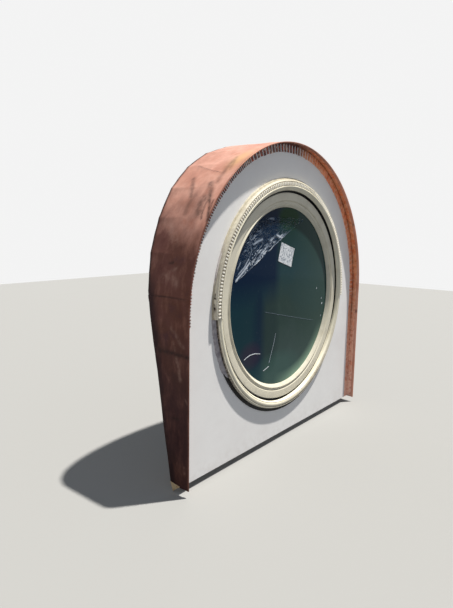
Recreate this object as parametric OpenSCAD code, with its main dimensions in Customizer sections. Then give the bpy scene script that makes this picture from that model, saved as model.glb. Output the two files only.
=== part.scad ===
// Round-window dormer with a copper hood, millimetres, +Z up.
// The window faces -Y. X runs left to right seen from the front.
// The origin is on the sloping rear face, at the middle of the sill plate.
// Below, heights count from the panel bottom and depths from the panel face.

/* [Hood] */
// Half the width over the copper cheeks
half_width = 500; // [460:5:600]
// Height of the arch centre above the panel bottom
spring_height = 455; // [425:5:600]
// Copper sheet thickness
sheet = 1; // [0.7:0.1:1.5]
// How far the hood stands in front of the panel
lip = 28; // [18:1:60]
// Depth of the hem folded inside the front edge
hem = 10; // [5:1:14]
// Clearance between the hem and the edge it hooks over
hem_gap = 0.3; // [0.1:0.1:1]
// How far the cheeks hang below the panel
cheek_drop = 2; // [1:1:20]
// Height of the flat seam between cheek and barrel, above the arch centre
seam_above = 44; // [30:1:110]
// Width of the flat seam
seam_width = 18; // [10:1:40]
// Thickness of the folded seam on top of the sheet
seam_rise = 1.5; // [1:0.1:3]

/* [Kerfed edge] */
// Radial width of the flange lying on the panel
flange_width = 28; // [15:1:40]
// Number of kerfs over the half circle
kerf_count = 180; // [60:2:200]
// Width of one kerf
kerf_width = 4; // [2:0.2:6]
// Sheet left whole between kerf and fold
kerf_root = 4; // [2:1:10]
// Length of kerfed edge below the arch centre
kerf_leg = 26; // [15:1:60]
// Number of kerfs in that length
kerf_leg_count = 2; // [1:1:6]

/* [Corner tab] */
// Length of the tab along the foot of the cheek
tab_length = 36; // [20:1:40]
// How far the tab hangs down
tab_drop = 20; // [10:1:40]
// How far the tab laps up the cheek
tab_lap = 6; // [3:1:15]

/* [Front panel] */
// Panel thickness
panel_depth = 18; // [10:1:24]
// Height of the window centre above the arch centre
window_above = 11; // [-15:1:30]

/* [Window, from the glass outwards] */
// Radius of the daylight opening
sight_radius = 292; // [200:1:300]
// Radial width of the glazing bead
bead_width = 19; // [16:1:24]
// Radial width of the sash
sash_width = 27; // [20:1:40]
// Radial gap between sash and jamb
sash_gap = 6; // [3:0.5:10]
// Radial thickness of the jamb
jamb_thick = 12; // [8:1:16]
// How far the sash face stands in front of the panel
sash_face = 2; // [0:0.5:4]
// Radial width of the upper casing over jamb and panel
casing_width = 33; // [32:1:40]
// How much narrower the lower casing is
lower_setback = 8; // [4:0.5:9]
// Angle by which the upper casing reaches below the window centre
joint_angle = 4; // [0:0.5:8]
// Depth of the window jamb behind the panel face
jamb_depth = 46; // [44:1:50]
// Thickness of the seal under the casing
seal_depth = 3; // [1:0.5:8]
// How far the seal shows beyond the casing
seal_show = 2.5; // [0:0.5:10]

/* [Casing profile] */
// Height of the casing crest above the seal
crest_height = 14; // [12:0.5:20]
// Width of the casing crest
crest_width = 4.5; // [3:0.5:6]
// Height of the inner edge where that slope starts
inner_wall = 4; // [2:0.5:5]
// Width of the slope from the sash up to the crest
inner_slope = 10; // [6:0.5:11]
// Depth of the channel that holds the toothed nosing
channel_depth = 4.5; // [2:0.5:6]
// Width of the rounded rim outside the nosing
rim_width = 3; // [2:0.5:5]
// Width of the slope at the outer edge
outer_slope = 3; // [2:0.5:5]
// Width of the slope on the lower casing
lower_slope = 4.5; // [3:0.5:6]
// Height of the ledge that carries the double bead
ledge_height = 6.5; // [5:0.5:9]
// Height of the sharp inner edge above that ledge
inner_edge = 3; // [1:0.5:5]
// Width of that inner edge
edge_width = 1; // [0.5:0.5:2]
// Width of the rounding at the ledge's outer edge
ledge_round = 2; // [1:0.5:3]

/* [Toothed nosing] */
// Number of teeth over the whole upper casing
tooth_count = 125; // [49:2:131]
// Width of the slot between two teeth
slot_width = 4.4; // [2:0.2:6]
// Height of a tooth above its strip
tooth_height = 3; // [1:0.5:5]
// How far the teeth stay inside the strip's edges
tooth_margin = 0.8; // [0.4:0.1:1]
// Thickness of the strip under the teeth and the beads
strip_depth = 1; // [0.5:0.5:1.5]
// Play between a strip and the casing beside it
strip_play = 0.3; // [0.1:0.1:0.5]

/* [Double bead] */
// Width of the thin outer bead
thin_bead = 4; // [3:0.5:6]
// Rise of the wide bead above its strip
bead_rise = 3.5; // [2:0.5:5]
// Flat between the two beads
bead_gap = 0.7; // [0.3:0.1:1.5]

/* [Glass] */
// Depth of the glass face behind the panel face
glass_front = 10; // [6:1:14]
// Thickness of one pane
pane = 4; // [3:1:5]
// Air space between the panes
air_space = 12; // [6:1:14]
// Radial width of the spacer between the panes
spacer_width = 8; // [5:1:12]
// Radial gap for the rubber round the glass
gasket_gap = 2; // [1:0.5:4]
// How far the spacer lies inside the edge of the panes
spacer_inset = 2; // [1:0.5:4]
// How far the sash reaches behind the glass
sash_behind = 4; // [2:1:7]

/* [Sash seal] */
// How far the body of the seal lies behind the panel face
seal_inset = 4; // [2:1:12]
// Thickness of its flap on the jamb
flap = 1.5; // [1:0.5:2]
// Thickness of the stop behind the glass
stop_depth = 8; // [5:1:15]

/* [Framing] */
// Board thickness of the side and barrel sheathing
sheathing = 9; // [6:1:15]
// Studs, ribs, struts and sill plate
timber = 38; // [30:1:42]
// Radial width of the arch ribs
rib_width = 45; // [42:1:60]

/* [Roof] */
// Pitch of the roof face that carries the dormer
roof_pitch = 80.7; // [70:0.1:84]
// Distance from panel face to roof face at panel bottom
foot_depth = 38; // [34:1:120]

/* [Hidden] */

inner_skin = half_width - sheet;
frame_radius = inner_skin - sheathing;
seam_height = spring_height + seam_above;
window_height = spring_height + window_above;

rebate_radius = sight_radius + bead_width;
sash_radius = rebate_radius + sash_width;
jamb_radius = sash_radius + sash_gap;
hole_radius = jamb_radius + jamb_thick;
casing_radius = jamb_radius + casing_width;
lower_radius = casing_radius - lower_setback;
upper_sweep = 180 + 2 * joint_angle;
lower_sweep = 360 - upper_sweep;
crest_face = seal_depth + crest_height;
crest_out = jamb_radius + inner_slope + crest_width;
channel_out = casing_radius - outer_slope - rim_width;
channel_face = crest_face - channel_depth;
ledge_in = jamb_radius + lower_slope + edge_width;
ledge_out = lower_radius - ledge_round;
ledge_face = seal_depth + ledge_height;
glass_back = glass_front + 2 * pane + air_space;
sash_back = glass_back + sash_behind;

lean = 90 - roof_pitch;
mount_height = timber / 2;
reach = 2 * (half_width + spring_height);
deep = foot_depth + reach * tan(lean);

$fn = 180;

// Moves the origin to the rear face
module placed() {
  translate([0, -foot_depth - mount_height * tan(lean), -mount_height])
    children();
}

// Outline drawn in X and Z, solid from y_front to y_back
module plate(y_front, y_back) {
  translate([0, y_back, 0]) rotate([90, 0, 0])
    linear_extrude(y_back - y_front) children();
}

// Everything behind the roof face, or behind a face so far in front of it
module roof_side(ahead = 0) {
  translate([0, foot_depth - ahead, 0]) rotate([-lean, 0, 0])
    translate([-reach, 0, -reach]) cube([2 * reach, deep, 3 * reach]);
}

module cut_to_roof() {
  difference() {
    children();
    roof_side();
  }
}

module right_side() {
  mirror([1, 0, 0]) children();
}

module left_half() {
  translate([-reach, -reach]) square([reach, 3 * reach]);
}

module heights(z_low, z_high) {
  translate([-reach, z_low]) square([2 * reach, z_high - z_low]);
}

// Outline of the dormer front: straight legs under a half circle
module arch(radius) {
  translate([0, spring_height]) circle(r = radius);
  translate([-radius, -reach]) square([2 * radius, spring_height + reach]);
}

// Band that follows that outline between two heights
module strip(r_out, r_in, z_low, z_high) {
  intersection() {
    difference() {
      arch(r_out);
      arch(r_in);
    }
    heights(z_low, z_high);
  }
}

module half_ring(r_out, r_in) {
  strip(r_out, r_in, spring_height, reach);
}

// Copper sheet with its front hem hooked over the drip edge
module skin(z_low, z_high) {
  hem_out = inner_skin - sheet - hem_gap;
  hem_in = hem_out - sheet;
  cut_to_roof() plate(-lip, deep)
    strip(half_width, inner_skin, z_low, z_high);
  plate(-lip, sheet - lip) strip(half_width, hem_in, z_low, z_high);
  plate(-lip, hem - lip) strip(hem_out, hem_in, z_low, z_high);
}

module hood_barrel() color("#b87a58") placed() skin(seam_height, reach);

module cheek() {
  intersection() {
    skin(-cheek_drop, seam_height);
    translate([-reach, -reach, -reach]) cube([reach, 2 * reach, 2 * reach]);
  }
}

module cheek_left() color("#6b4238") placed() cheek();

module cheek_right() color("#6b4238") placed() right_side() cheek();

// Flat seam, folded over the joint of cheek and barrel
module seam() {
  cut_to_roof() plate(-lip, deep) intersection() {
    strip(half_width + seam_rise, half_width,
      seam_height - seam_width / 2, seam_height + seam_width / 2);
    left_half();
  }
}

module seam_left() color("#a86c50") placed() seam();

module seam_right() color("#a86c50") placed() right_side() seam();

// One kerf, open towards the middle of the window
module kerf() {
  translate([inner_skin - flange_width - sheet, -kerf_width / 2])
    square([flange_width + sheet - kerf_root, kerf_width]);
}

module kerfs() {
  translate([0, spring_height]) {
    for (i = [0 : kerf_count]) rotate(i * 180 / kerf_count) kerf();
    for (side = [0, 1]) mirror([side, 0])
      for (i = [1 : kerf_leg_count])
        translate([0, -i * kerf_leg / (kerf_leg_count + 1)]) kerf();
  }
}

// Folded copper edge: a lip under the hem and a flange on the panel
module drip_edge(z_low, z_high) {
  plate(sheet - lip, 0) strip(inner_skin, inner_skin - sheet, z_low, z_high);
  plate(-sheet, 0) difference() {
    strip(inner_skin, inner_skin - flange_width, z_low, z_high);
    kerfs();
  }
}

module drip_edge_arch() color("#8a4a30") placed()
  drip_edge(spring_height - kerf_leg, reach);

module drip_edge_leg() {
  intersection() {
    drip_edge(0, spring_height - kerf_leg);
    translate([-reach, -reach, -reach]) cube([reach, 2 * reach, 2 * reach]);
  }
}

module drip_edge_left() color("#8a4a30") placed() drip_edge_leg();

module drip_edge_right() color("#8a4a30") placed()
  right_side() drip_edge_leg();

// Small folded triangle at the back of the cheek's foot
module corner_tab() {
  tip = foot_depth - tab_drop * tan(lean) - 5;
  cut_to_roof() translate([-half_width - sheet, 0, 0]) rotate([90, 0, 90])
    linear_extrude(sheet) polygon([
      [foot_depth - tab_length, tab_lap / 3],
      [foot_depth + tab_lap, tab_lap], [tip, -tab_drop]
    ]);
}

module corner_tab_left() color("#d7b482") placed() corner_tab();

module corner_tab_right() color("#d7b482") placed()
  right_side() corner_tab();

module window_circle(radius) {
  translate([0, window_height]) circle(r = radius);
}

module front_panel() color("#dedcda") placed() plate(0, panel_depth)
  difference() {
    intersection() {
      arch(inner_skin);
      heights(0, reach);
    }
    window_circle(hole_radius);
  }

// Profile of radius against distance in front of the panel face
module turned(profile, from = 0, sweep = 360) {
  translate([0, 0, window_height]) rotate([90, 0, 0]) rotate([0, 0, from])
    rotate_extrude(angle = sweep) polygon(profile);
}

// Plain ring between two depths behind the panel face
module tube(r_out, r_in, y_front, y_back) {
  turned([[r_in, -y_back], [r_out, -y_back],
    [r_out, -y_front], [r_in, -y_front]]);
}

// Upper casing: slope, crest, channel for the nosing, rounded rim
module casing_upper() color("#eee8cf") placed() turned([
  [jamb_radius, seal_depth], [casing_radius, seal_depth],
  [casing_radius, crest_face - 7],
  [casing_radius - outer_slope / 2, crest_face - 3],
  [casing_radius - outer_slope, crest_face - 1.5],
  [channel_out + rim_width / 2, crest_face - 0.7],
  [channel_out, crest_face - 1.5], [channel_out, channel_face],
  [crest_out, channel_face], [crest_out, crest_face - 1],
  [crest_out - crest_width / 2, crest_face],
  [crest_out - crest_width, crest_face - 0.5],
  [jamb_radius, seal_depth + inner_wall]
], -joint_angle, upper_sweep);

// Lower casing: slope up to a sharp edge, then the ledge for the beads
module casing_lower() color("#d8d2b8") placed() turned([
  [jamb_radius, seal_depth], [lower_radius, seal_depth],
  [lower_radius, ledge_face - 1.5 * ledge_round], [ledge_out, ledge_face],
  [ledge_in, ledge_face], [ledge_in - edge_width, ledge_face + inner_edge],
  [jamb_radius, seal_depth + inner_wall]
], 180 + joint_angle, lower_sweep);

// Upper nosing: a strip in the channel with a row of teeth
module toothed_nosing() color("#f5f0d8") placed() {
  strip_in = crest_out + strip_play;
  strip_out = channel_out - strip_play;
  strip_face = channel_face + strip_depth;
  turned([
    [strip_in, channel_face], [strip_out, channel_face],
    [strip_out, strip_face], [strip_in, strip_face]
  ], -joint_angle, upper_sweep);
  plate(-strip_face - tooth_height, strip_depth / 2 - strip_face) difference() {
    window_circle(strip_out - tooth_margin);
    window_circle(strip_in + tooth_margin);
    translate([0, window_height]) {
      polygon([[0, 0], reach * [-cos(joint_angle), -sin(joint_angle)],
        [-reach, -reach], [reach, -reach],
        reach * [cos(joint_angle), -sin(joint_angle)]]);
      for (i = [0 : tooth_count])
        rotate(i * upper_sweep / tooth_count - joint_angle)
          translate([strip_in, -slot_width / 2])
            square([strip_out - strip_in, slot_width]);
    }
  }
}

// Half-round outline from one radius to another, standing on a face
function half_round(from, to, face, rise) = [
  for (angle = [180 : -15 : 0]) [
    (from + to) / 2 + (to - from) / 2 * cos(angle),
    face + rise * sin(angle)
  ]
];

// Lower nosing: a wide and a thin bead side by side on a strip
module double_bead() color("#e6dfc6") placed() {
  strip_in = ledge_in + strip_play;
  strip_face = ledge_face + strip_depth;
  dip = ledge_out - thin_bead - bead_gap;
  turned(concat(
    [[ledge_out, ledge_face], [strip_in, ledge_face]],
    half_round(strip_in, dip, strip_face, bead_rise),
    half_round(ledge_out - thin_bead, ledge_out, strip_face, thin_bead / 2)
  ), 180 + joint_angle, lower_sweep);
}

module casing_seal() color("#151515") placed()
  tube(casing_radius + seal_show, hole_radius, -seal_depth, 0);

module window_jamb() color("#d8d2b8") placed()
  tube(hole_radius, jamb_radius, -seal_depth, jamb_depth);

// Rubber filling the gap, with a flap up the jamb to the casing's inner edge
module sash_seal() color("#111111") placed() turned([
  [sash_radius, -sash_back], [jamb_radius, -sash_back],
  [jamb_radius, seal_depth + inner_wall],
  [jamb_radius - flap, seal_depth + inner_wall],
  [jamb_radius - flap, -seal_inset], [sash_radius, -seal_inset]
]);

// Flat ring with eased edges and a rebate for glass and bead
module sash_ring() color("#c9c6b4") placed()
  turned([
    [rebate_radius, -sash_back], [sash_radius, -sash_back],
    [sash_radius, sash_face - 2], [sash_radius - 2, sash_face],
    [rebate_radius + 3, sash_face - 1], [rebate_radius, sash_face - 4]
  ]);

// Bead with a low outer slope, a rounded rim and a slope to the glass
module glazing_bead() color("#dcdac8") placed() {
  rim = sash_face - 0.5;
  turned([
    [sight_radius, -glass_front], [rebate_radius, -glass_front],
    [rebate_radius, rim - 4], [rebate_radius - 6, rim - 2.5],
    [rebate_radius - 7.5, rim], [rebate_radius - 9, rim],
    [rebate_radius - 11, rim - 1.5], [sight_radius, 1.5 - glass_front]
  ]);
}

glass_radius = rebate_radius - gasket_gap;
spacer_out = glass_radius - spacer_inset;

module glazing_gasket() color("#111111") placed()
  tube(rebate_radius, glass_radius, glass_front, glass_back);

module outer_pane() color("#1c3238") placed()
  plate(glass_front, glass_front + pane) window_circle(glass_radius);

module inner_pane() color("#1c3238") placed()
  plate(glass_back - pane, glass_back) window_circle(glass_radius);

module spacer_ring() color("#9aa0a0") placed()
  tube(spacer_out, spacer_out - spacer_width,
    glass_front + pane, glass_back - pane);

module inner_stop() color("#dcdac8") placed()
  tube(rebate_radius, sight_radius, glass_back, glass_back + stop_depth);

// Round lining from the jamb back to the roof face
module jamb_liner() color("#cbb58a") placed() cut_to_roof()
  tube(hole_radius, jamb_radius, jamb_depth, deep);

module sill_plate() color("#c9a876") placed() cut_to_roof()
  translate([-frame_radius, panel_depth, 0])
    cube([2 * frame_radius, deep, timber]);

module stud() {
  cut_to_roof() translate([-frame_radius, panel_depth, timber])
    cube([timber, deep, spring_height - timber]);
}

module stud_left() color("#c9a876") placed() stud();

module stud_right() color("#c9a876") placed() right_side() stud();

module front_rib() color("#d3b684") placed()
  plate(panel_depth, panel_depth + timber)
    half_ring(frame_radius, frame_radius - rib_width);

module back_rib() color("#d3b684") placed() cut_to_roof() intersection() {
  plate(panel_depth, deep)
    half_ring(frame_radius, frame_radius - rib_width);
  roof_side(timber);
}

module sheathing_leg() {
  cut_to_roof() translate([-inner_skin, panel_depth, 0])
    cube([sheathing, deep, spring_height]);
}

module sheathing_left() color("#b99868") placed() sheathing_leg();

module sheathing_right() color("#b99868") placed()
  right_side() sheathing_leg();

module sheathing_barrel() color("#b99868") placed() cut_to_roof()
  plate(panel_depth, deep) half_ring(inner_skin, frame_radius);

// Short timber between the two ribs, at an angle round the arch
module strut(angle) {
  difference() {
    plate(panel_depth + timber, deep) translate([0, spring_height])
      rotate(angle)
        translate([frame_radius - (rib_width + timber) / 2, -timber / 2])
          square(timber);
    roof_side(timber);
  }
}

module strut_top() color("#c9a876") placed() strut(90);

module strut_upper_left() color("#c9a876") placed() strut(125);

module strut_upper_right() color("#c9a876") placed() strut(55);

module strut_lower_left() color("#c9a876") placed() strut(158);

module strut_lower_right() color("#c9a876") placed() strut(22);

hood_barrel();
cheek_left();
cheek_right();
seam_left();
seam_right();
drip_edge_arch();
drip_edge_left();
drip_edge_right();
corner_tab_left();
corner_tab_right();
front_panel();
casing_upper();
casing_lower();
toothed_nosing();
double_bead();
casing_seal();
window_jamb();
sash_seal();
sash_ring();
glazing_bead();
glazing_gasket();
outer_pane();
spacer_ring();
inner_pane();
inner_stop();
jamb_liner();
sill_plate();
stud_left();
stud_right();
front_rib();
back_rib();
sheathing_left();
sheathing_right();
sheathing_barrel();
strut_top();
strut_upper_left();
strut_upper_right();
strut_lower_left();
strut_lower_right();
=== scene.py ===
"""Round-window dormer with a copper hood, dressed and lit as in its photograph."""
import math
import random

import bpy
from mathutils import Matrix, Vector, noise


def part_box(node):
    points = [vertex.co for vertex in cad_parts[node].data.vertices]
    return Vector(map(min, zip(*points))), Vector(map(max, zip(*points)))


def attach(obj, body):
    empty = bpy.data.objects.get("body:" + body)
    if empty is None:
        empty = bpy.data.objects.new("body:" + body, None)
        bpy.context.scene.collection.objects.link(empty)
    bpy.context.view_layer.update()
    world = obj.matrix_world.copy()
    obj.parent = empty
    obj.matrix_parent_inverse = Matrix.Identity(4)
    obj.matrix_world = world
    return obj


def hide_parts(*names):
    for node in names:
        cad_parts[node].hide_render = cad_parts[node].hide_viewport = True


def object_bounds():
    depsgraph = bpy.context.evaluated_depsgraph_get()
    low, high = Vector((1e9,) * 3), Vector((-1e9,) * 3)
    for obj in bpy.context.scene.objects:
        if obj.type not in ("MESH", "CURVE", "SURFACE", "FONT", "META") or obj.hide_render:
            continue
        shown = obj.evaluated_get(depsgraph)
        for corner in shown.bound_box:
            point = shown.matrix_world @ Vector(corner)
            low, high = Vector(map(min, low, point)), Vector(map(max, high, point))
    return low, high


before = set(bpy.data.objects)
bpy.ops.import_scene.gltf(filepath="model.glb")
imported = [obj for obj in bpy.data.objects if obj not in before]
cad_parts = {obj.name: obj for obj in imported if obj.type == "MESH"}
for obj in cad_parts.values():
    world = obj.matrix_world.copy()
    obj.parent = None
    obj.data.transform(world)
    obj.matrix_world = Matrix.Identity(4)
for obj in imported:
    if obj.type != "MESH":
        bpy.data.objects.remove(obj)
cad_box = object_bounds()

# Camera
# A wide view from the front left, a little above the middle of the window.
# It was fitted to the arch, the ring and the lower edge of the panel.
camera_place = Vector((-1.38822, -0.90697, 0.66645))
camera_yaw = math.radians(51.045)
camera_dip = math.radians(8.607)
camera_roll = math.radians(0.853)
focal_pixels = 495.14
photo_height = 608
ahead = Vector((
    math.sin(camera_yaw) * math.cos(camera_dip),
    math.cos(camera_yaw) * math.cos(camera_dip),
    -math.sin(camera_dip),
))
level = Vector((math.cos(camera_yaw), -math.sin(camera_yaw), 0))
upward = level.cross(ahead)
right = math.cos(camera_roll) * level + math.sin(camera_roll) * upward
up = -math.sin(camera_roll) * level + math.cos(camera_roll) * upward


def in_scene(name, data):
    """New object in the scene from a camera, a light or a mesh."""
    made = bpy.data.objects.new(name, data)
    bpy.context.scene.collection.objects.link(made)
    return made


camera = in_scene("camera", bpy.data.cameras.new("camera"))
camera.data.sensor_fit = "VERTICAL"
camera.data.sensor_height = 36
camera.data.lens = focal_pixels / photo_height * camera.data.sensor_height
turn = Matrix((right, up, -ahead)).transposed()
camera.matrix_world = Matrix.Translation(camera_place) @ turn.to_4x4()
bpy.context.scene.camera = camera
bpy.context.scene.view_settings.view_transform = "Standard"

# Light and floor
# A soft sun from high on the right draws the shadow of the hood's lip.
# The pale room around it fills the shade, and the floor lies under the foot.
sun_side = Vector((0.29, -0.21, 0.933))
sun = in_scene("sun", bpy.data.lights.new("sun", "SUN"))
sun.data.energy = 6.0
sun.data.color = (1.0, 0.965, 0.91)
sun.data.angle = math.radians(1.5)
sun.rotation_euler = sun_side.to_track_quat("Z", "Y").to_euler()


def tint(colour):
    """Linear colour from a hex string in screen colours."""
    parts = [int(colour[i:i + 2], 16) / 255 for i in (1, 3, 5)]
    linear = [c / 12.92 if c < 0.04045 else ((c + 0.055) / 1.055) ** 2.4 for c in parts]
    return (*linear, 1)


def feed(socket, value):
    """Give an input a number, a hex colour or the output of another node."""
    if isinstance(value, bpy.types.NodeSocket):
        socket.id_data.links.new(value, socket)
    else:
        socket.default_value = tint(value) if isinstance(value, str) else value


def new_node(tree, kind, values, **settings):
    """Shader node with its settings and with values for its inputs."""
    node = tree.nodes.new("ShaderNode" + kind)
    for setting, choice in settings.items():
        setattr(node, setting, choice)
    for key, value in values.items():
        feed(node.inputs[key], value)
    return node


def sums(operation, first, second=0.0):
    """Math node on two values, each a number or an output."""
    tree = (first if isinstance(first, bpy.types.NodeSocket) else second).id_data
    return new_node(tree, "Math", {0: first, 1: second}, operation=operation).outputs[0]


def mix(share, first, second):
    """Colour first going over to second by share."""
    return new_node(share.id_data, "Mix", {0: share, 6: first, 7: second}, data_type="RGBA").outputs[2]


def new_material(name, roughness, metallic=0.0, specular=0.5):
    """Material with a Principled shader, its node tree and that shader."""
    material = bpy.data.materials.new(name)
    material.use_nodes = True
    shader = material.node_tree.nodes["Principled BSDF"]
    for key, value in (("Roughness", roughness), ("Metallic", metallic), ("Specular IOR Level", specular)):
        shader.inputs[key].default_value = value
    return material, material.node_tree, shader


def clear_view(tree):
    """1 for rays that show the surroundings to the eye, 0 for those that light."""
    ray = tree.nodes.new("ShaderNodeLightPath").outputs
    shown = sums("MAXIMUM", ray["Is Camera Ray"], ray["Is Glossy Ray"])
    return sums("MAXIMUM", shown, ray["Is Transmission Ray"])


world = bpy.data.worlds.new("pale_room")
world.use_nodes = True
bpy.context.scene.world = world
tree = world.node_tree
room = tree.nodes["Background"]
room.inputs["Color"].default_value = (0.82, 0.89, 1.0, 1)
room.inputs["Strength"].default_value = 0.33
backdrop = new_node(tree, "Background", {"Color": (0.9, 0.9, 0.9, 1), "Strength": 1.0})
blend = {0: clear_view(tree), 1: room.outputs[0], 2: backdrop.outputs[0]}
feed(tree.nodes["World Output"].inputs[0], new_node(tree, "MixShader", blend).outputs[0])

floor_half = 5.0
floor_clearance = 0.001
floor_level = cad_box[0][2] - floor_clearance
floor_corners = [(x * floor_half, y * floor_half, floor_level)
                 for x, y in ((-1, -1), (1, -1), (1, 1), (-1, 1))]
floor_mesh = bpy.data.meshes.new("floor")
floor_mesh.from_pydata(floor_corners, [], [(0, 1, 2, 3)])
floor = in_scene("floor", floor_mesh)
floor_paint, tree, shader = new_material("floor_paint", 0.95)
feed(shader.inputs["Base Color"], mix(clear_view(tree), "#56585c", "#9a9a98"))
floor_mesh.materials.append(floor_paint)

# Copper sheet
# Soft 1 mm copper, dressed over the boards by hand and hooked round the drip edge.
# The barrel still has its pink and salmon bloom, the cheeks have gone brown; part of that brown is painted
# shade.
half_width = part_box("cheek_right")[1][0]
lip_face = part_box("hood_barrel")[0][1]
panel_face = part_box("front_panel")[0][1]
panel_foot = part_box("front_panel")[0][2]
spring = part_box("hood_barrel")[1][2] - half_width
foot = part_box("cheek_left")[0][2]
seam_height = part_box("hood_barrel")[0][2]
roof_slope = math.tan(math.radians(9.3))
leg = spring - foot
half_round = math.pi * half_width
crown = leg + half_round / 2
seam_along = leg + half_width * math.asin((seam_height - spring) / half_width)
outline_length = 2 * leg + half_round
sheet = 0.001


def outline(along):
    """Point on the hood's outline, from the left foot over the arch, and its outward side."""
    if along < leg:
        return -half_width, foot + along, -1, 0
    if along > outline_length - leg:
        return half_width, foot + outline_length - along, 1, 0
    angle = math.pi - (along - leg) / half_width
    over, out = math.cos(angle), math.sin(angle)
    return half_width * over, spring + half_width * out, over, out


def rise(value, low, high):
    """Smooth step from 0 at low to 1 at high."""
    share = min(1, max(0, (value - low) / (high - low)))
    return share * share * (3 - 2 * share)


def fall(value, low, high):
    """Smooth step from 1 at low to 0 at high."""
    return 1 - rise(value, low, high)


def bell(value, middle, width):
    """1 at the middle, falling to 0 a few widths away."""
    return math.exp(-((value - middle) / width) ** 2)


def patchy(x, y, z):
    """Smooth random value between -1 and 1, seldom far from 0."""
    return noise.noise(Vector((x, y, z)))


def near_line(place, line, width):
    """1 on a line of points, falling to 0 a few widths away."""
    best = 9.0
    for (ax, ay), (bx, by) in zip(line, line[1:]):
        dx, dy = bx - ax, by - ay
        share = ((place[0] - ax) * dx + (place[1] - ay) * dy) / (dx * dx + dy * dy)
        share = min(1, max(0, share))
        best = min(best, math.hypot(place[0] - ax - share * dx, place[1] - ay - share * dy))
    return bell(best, 0, width)


facet_length = 0.104
deepest_dent = -0.0006
crease = [(0.893, 0.050), (0.902, 0.085), (0.918, 0.127), (0.934, 0.160)]
fold_mark = [(0.363, 0.0), (0.366, 0.110)]


def dent(along, depth):
    """How far hand dressing has pushed the sheet outwards."""
    reach = rise(depth, 0.004, 0.045)
    over = rise(along, leg - 0.05, leg + 0.1) * rise(outline_length - along, leg - 0.05, leg + 0.1)
    across = 2 * ((along / facet_length) % 1) - 1
    facets = 0.0021 * across ** 4 * over * rise(depth, 0.05, 0.15)
    wide = 0.0024 * (0.45 + patchy(along * 7.5, depth * 10, 1.3))
    small = 0.0006 * patchy(along * 31, depth * 25, 4.1)
    folds = 0.0007 * near_line((along, depth), crease, 0.004)
    folds += 0.0006 * near_line((along, depth), fold_mark, 0.007)
    return max(deepest_dent, reach * (facets + wide + small + folds))


def piece_mesh(name, points, faces, material, node=None, marks=None, sharp=35):
    """Smooth-shaded piece riding on the dormer, in place of a CAD node where one is named."""
    mesh = bpy.data.meshes.new(name)
    mesh.from_pydata(points, [], faces)
    mesh.validate()
    for mark, values in (marks or {}).items():
        mesh.attributes.new(mark, "FLOAT", "POINT").data.foreach_set("value", values)
    mesh.polygons.foreach_set("use_smooth", [True] * len(mesh.polygons))
    mesh.set_sharp_from_angle(angle=math.radians(sharp))
    mesh.materials.append(material)
    piece = in_scene(name, mesh)
    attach(piece, "root")
    if node:
        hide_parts(node)


def swept_faces(loops, around, closed=False):
    """Faces between equal closed loops of points, with flat ends unless they close up."""
    faces = []
    for i in range(loops if closed else loops - 1):
        here, there = i * around, (i + 1) % loops * around
        for j in range(around):
            k = (j + 1) % around
            faces.append((here + j, here + k, there + k, there + j))
    if not closed:
        faces.append(tuple(reversed(range(around))))
        faces.append(tuple(range((loops - 1) * around, loops * around)))
    return faces


fold = [(0.0007, 0.0001), (0.0002, 0.0005), (0.0, 0.0011), (0.0, 0.0022),
        (0.0002, 0.0028), (0.0007, 0.0032), (0.0016, 0.0033), (0.010, 0.0033),
        (0.010, 0.0023), (0.0010, 0.0023), (0.0010, 0.0010)]
fold_start = 0.0016
hem_end = 0.004
outer_rows = 56
inner_rows = 14


def copper_sheet(start, end, pace=0.0035):
    """Closed sheet along the outline: outer skin, folded lip, hem and inner skin."""
    points, places = [], []
    steps = math.ceil((end - start) / pace)
    for step in range(steps + 1):
        along = start + (end - start) * step / steps
        x, z, over, out = outline(along)
        back = z * roof_slope - lip_face
        outer = [(back + (fold_start - back) * i / outer_rows, 0) for i in range(outer_rows + 1)]
        inner = [(hem_end + (back - hem_end) * i / inner_rows, sheet) for i in range(inner_rows + 1)]
        for depth, inset in outer + fold + inner:
            stand = dent(along, depth) - inset
            points.append((x + over * stand, lip_face + depth, z + out * stand))
            places.append((along, 0.0 if inset > 0.0015 else depth, back))
    return points, swept_faces(steps + 1, outer_rows + inner_rows + 2 + len(fold)), places


# Dark streaks on the copper; the line along the crease is painted shade in that fold.
streaks_and_crease_shade = [
    ([(0.724, 0.003), (0.752, 0.011), (0.777, 0.021), (0.803, 0.033)], 0.0045, 1.0),
    ([(0.718, 0.004), (0.745, 0.006), (0.785, 0.013)], 0.0028, 0.9),
    ([(0.780, 0.026), (0.812, 0.038), (0.846, 0.056)], 0.010, 0.75),
    ([(0.742, 0.040), (0.765, 0.046), (0.796, 0.044)], 0.015, 0.7),
    ([(0.742, 0.042), (0.770, 0.044), (0.792, 0.043)], 0.003, 0.9),
    ([(0.724, 0.024), (0.745, 0.029), (0.776, 0.031)], 0.0028, 0.9),
    ([(0.850, 0.036), (0.905, 0.040), (0.960, 0.047)], 0.008, 0.5),
    ([(0.905, 0.028), (0.935, 0.034), (0.975, 0.050)], 0.005, 0.42),
    ([(0.795, 0.098), (0.830, 0.113), (0.868, 0.134)], 0.007, 0.6),
    ([(0.740, 0.088), (0.775, 0.094), (0.800, 0.088)], 0.009, 0.35),
    ([(0.601, 0.074), (0.599, 0.087)], 0.0035, 0.9),
    ([(0.510, 0.018), (0.511, 0.075), (0.510, 0.135)], 0.0016, 0.9),
    ([(0.364, 0.004), (0.366, 0.050), (0.367, 0.105)], 0.0065, 1.0),
    ([(0.191, 0.037), (0.190, 0.058)], 0.004, 0.9),
    (crease, 0.0013, 0.8),
]
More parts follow.
